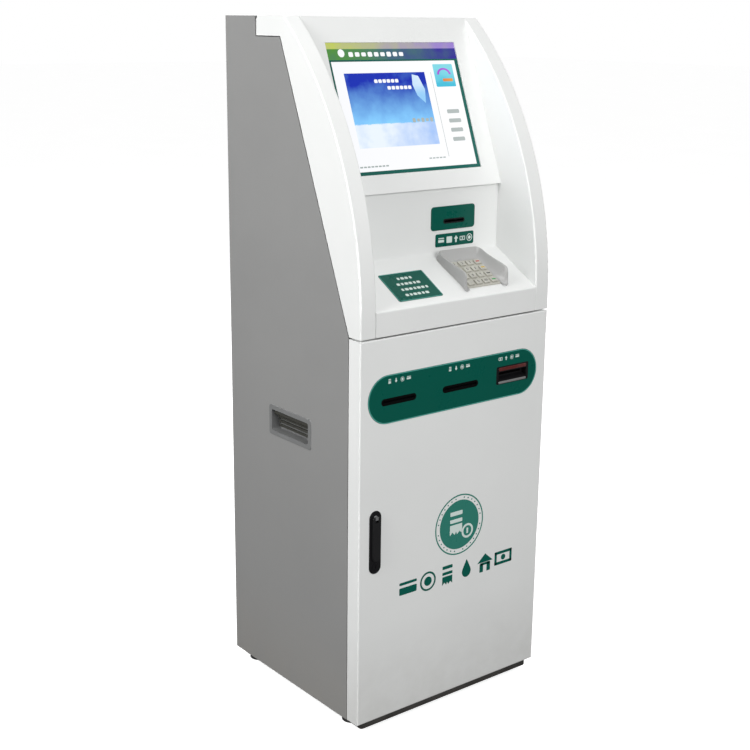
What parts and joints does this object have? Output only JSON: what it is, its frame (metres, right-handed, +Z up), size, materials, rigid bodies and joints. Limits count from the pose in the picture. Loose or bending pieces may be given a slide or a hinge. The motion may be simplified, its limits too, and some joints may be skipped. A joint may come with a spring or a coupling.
{
  "type": "self-service payment kiosk",
  "caption": "Free-standing self-service payment kiosk with a tilted screen, card slot, keypad, paper outlets and banknote slot, hinged door and lift-up hood.",
  "frame": {"origin": "centre of the footprint, on the floor", "axes": "+Z up, the customer stands at -Y, +X to the customer's right"},
  "size_m": [0.563, 0.525, 1.6],
  "materials": {
    "cabinet_grey": "fine-textured grey powder coat on steel sheet",
    "white_paint": "satin white powder coat on steel sheet",
    "green_panel": "glossy dark green film on plate",
    "black_plastic": "moulded matt black plastic",
    "black_paint": "black stoved paint",
    "grip_grey": "moulded grey plastic with a fine grain",
    "zinc_sheet": "bright zinc-plated steel",
    "screen_glass": null,
    "brushed_steel": "brushed stainless steel",
    "shield_grey": "moulded grey plastic, satin",
    "machine_beige": "moulded plastic",
    "cash_box_blue": "blue enamel on steel",
    "paper_white": "thermal paper",
    "switch_red": "moulded red plastic",
    "black_rubber": "moulded rubber pad on a zinc stud"
  },
  "bodies": {
    "cabinet": {"base_tray": "cabinet_grey", "levelling_feet": "black_rubber", "door_frame": "cabinet_grey", "equipment_shelf": "zinc_sheet", "left_side_panel": "cabinet_grey", "right_side_panel": "cabinet_grey", "side_grip_left": "grip_grey", "side_grip_right": "grip_grey", "rear_panel": "cabinet_grey", "top_panel": "cabinet_grey", "fan_frame": "black_plastic", "power_inlet": "black_plastic", "computer_unit": "black_paint", "receipt_printer": "black_paint", "invoice_printer": "machine_beige", "bill_acceptor": "black_paint", "door_pivots": "zinc_sheet", "hood_hinge_fixed": "zinc_sheet"},
    "hood": {"left_cheek": "white_paint", "right_cheek": "white_paint", "hood_top": "white_paint", "display_panel": "white_paint", "display_glass": "screen_glass", "monitor_case": "black_paint", "console_panel": "white_paint", "card_reader_bezel": "green_panel", "card_reader": "black_plastic", "label_plates": "green_panel", "keypad_case": "brushed_steel", "keypad_shield": "shield_grey", "hood_hinge_leaf": "zinc_sheet"},
    "door": {"door_skin": "white_paint", "outlet_panel": "green_panel", "slot_mouths": "black_plastic", "bill_bezel": "black_plastic", "lock_escutcheon": "black_plastic"},
    "fan_rotor": {"fan_rotor": "black_plastic"},
    "paper_roll": {"paper_roll": "paper_white"},
    "cash_box": {"cash_box": "cash_box_blue"},
    "power_switch": {"power_switch": "switch_red"},
    "lock_spindle": {"lock_spindle": "zinc_sheet"},
    "lock_handle": {"lock_handle": "black_paint"},
    "key_01": {"key_01": "brushed_steel"},
    "key_02": {"key_02": "brushed_steel"},
    "key_03": {"key_03": "brushed_steel"},
    "key_04": {"key_04": "brushed_steel"},
    "key_05": {"key_05": "brushed_steel"},
    "key_06": {"key_06": "brushed_steel"},
    "key_07": {"key_07": "brushed_steel"},
    "key_08": {"key_08": "brushed_steel"},
    "key_09": {"key_09": "brushed_steel"},
    "key_10": {"key_10": "brushed_steel"},
    "key_11": {"key_11": "brushed_steel"},
    "key_12": {"key_12": "brushed_steel"},
    "key_13": {"key_13": "brushed_steel"},
    "key_14": {"key_14": "brushed_steel"},
    "key_15": {"key_15": "brushed_steel"},
    "key_16": {"key_16": "brushed_steel"}
  },
  "joints": [
    {"name": "hood_lift", "type": "hinge", "parent": "cabinet", "child": "hood", "pos_m": [0, 0.13, 1.596], "axis": [-1, 0, 0], "range_deg": [0, 60]},
    {"name": "door_swing", "type": "hinge", "parent": "cabinet", "child": "door", "pos_m": [0.272, -0.223, 0.482], "axis": [0, 0, 1], "range_deg": [0, 100]},
    {"name": "lock_turn", "type": "hinge", "parent": "door", "child": "lock_spindle", "pos_m": [-0.235, -0.22, 0.5295], "axis": [0, -1, 0], "range_deg": [0, 90]},
    {"name": "lock_handle_lift", "type": "hinge", "parent": "lock_spindle", "child": "lock_handle", "pos_m": [-0.235, -0.26, 0.5295], "axis": [-1, 0, 0], "range_deg": [0, 35]},
    {"name": "fan_spin", "type": "hinge", "parent": "cabinet", "child": "fan_rotor", "pos_m": [0, 0.24, 1.38], "axis": [0, 1, 0], "continuous": true},
    {"name": "paper_roll_spin", "type": "hinge", "parent": "cabinet", "child": "paper_roll", "pos_m": [-0.172, -0.022, 0.745], "axis": [1, 0, 0], "continuous": true},
    {"name": "cash_box_slide", "type": "slide", "parent": "cabinet", "child": "cash_box", "axis": [0, 1, 0], "range_m": [0, 0.1]},
    {"name": "power_switch_rock", "type": "hinge", "parent": "cabinet", "child": "power_switch", "pos_m": [0.19, 0.252, 0.137], "axis": [1, 0, 0], "range_deg": [0, 15]},
    {"name": "key_01_press", "type": "slide", "parent": "hood", "child": "key_01", "axis": [0, 0.4961, -0.8682], "range_m": [0, 0.002], "stiffness_N_per_m": 300},
    {"name": "key_02_press", "type": "slide", "parent": "hood", "child": "key_02", "axis": [0, 0.4961, -0.8682], "range_m": [0, 0.002], "stiffness_N_per_m": 300},
    {"name": "key_03_press", "type": "slide", "parent": "hood", "child": "key_03", "axis": [0, 0.4961, -0.8682], "range_m": [0, 0.002], "stiffness_N_per_m": 300},
    {"name": "key_04_press", "type": "slide", "parent": "hood", "child": "key_04", "axis": [0, 0.4961, -0.8682], "range_m": [0, 0.002], "stiffness_N_per_m": 300},
    {"name": "key_05_press", "type": "slide", "parent": "hood", "child": "key_05", "axis": [0, 0.4961, -0.8682], "range_m": [0, 0.002], "stiffness_N_per_m": 300},
    {"name": "key_06_press", "type": "slide", "parent": "hood", "child": "key_06", "axis": [0, 0.4961, -0.8682], "range_m": [0, 0.002], "stiffness_N_per_m": 300},
    {"name": "key_07_press", "type": "slide", "parent": "hood", "child": "key_07", "axis": [0, 0.4961, -0.8682], "range_m": [0, 0.002], "stiffness_N_per_m": 300},
    {"name": "key_08_press", "type": "slide", "parent": "hood", "child": "key_08", "axis": [0, 0.4961, -0.8682], "range_m": [0, 0.002], "stiffness_N_per_m": 300},
    {"name": "key_09_press", "type": "slide", "parent": "hood", "child": "key_09", "axis": [0, 0.4961, -0.8682], "range_m": [0, 0.002], "stiffness_N_per_m": 300},
    {"name": "key_10_press", "type": "slide", "parent": "hood", "child": "key_10", "axis": [0, 0.4961, -0.8682], "range_m": [0, 0.002], "stiffness_N_per_m": 300},
    {"name": "key_11_press", "type": "slide", "parent": "hood", "child": "key_11", "axis": [0, 0.4961, -0.8682], "range_m": [0, 0.002], "stiffness_N_per_m": 300},
    {"name": "key_12_press", "type": "slide", "parent": "hood", "child": "key_12", "axis": [0, 0.4961, -0.8682], "range_m": [0, 0.002], "stiffness_N_per_m": 300},
    {"name": "key_13_press", "type": "slide", "parent": "hood", "child": "key_13", "axis": [0, 0.4961, -0.8682], "range_m": [0, 0.002], "stiffness_N_per_m": 300},
    {"name": "key_14_press", "type": "slide", "parent": "hood", "child": "key_14", "axis": [0, 0.4961, -0.8682], "range_m": [0, 0.002], "stiffness_N_per_m": 300},
    {"name": "key_15_press", "type": "slide", "parent": "hood", "child": "key_15", "axis": [0, 0.4961, -0.8682], "range_m": [0, 0.002], "stiffness_N_per_m": 300},
    {"name": "key_16_press", "type": "slide", "parent": "hood", "child": "key_16", "axis": [0, 0.4961, -0.8682], "range_m": [0, 0.002], "stiffness_N_per_m": 300}
  ]
}
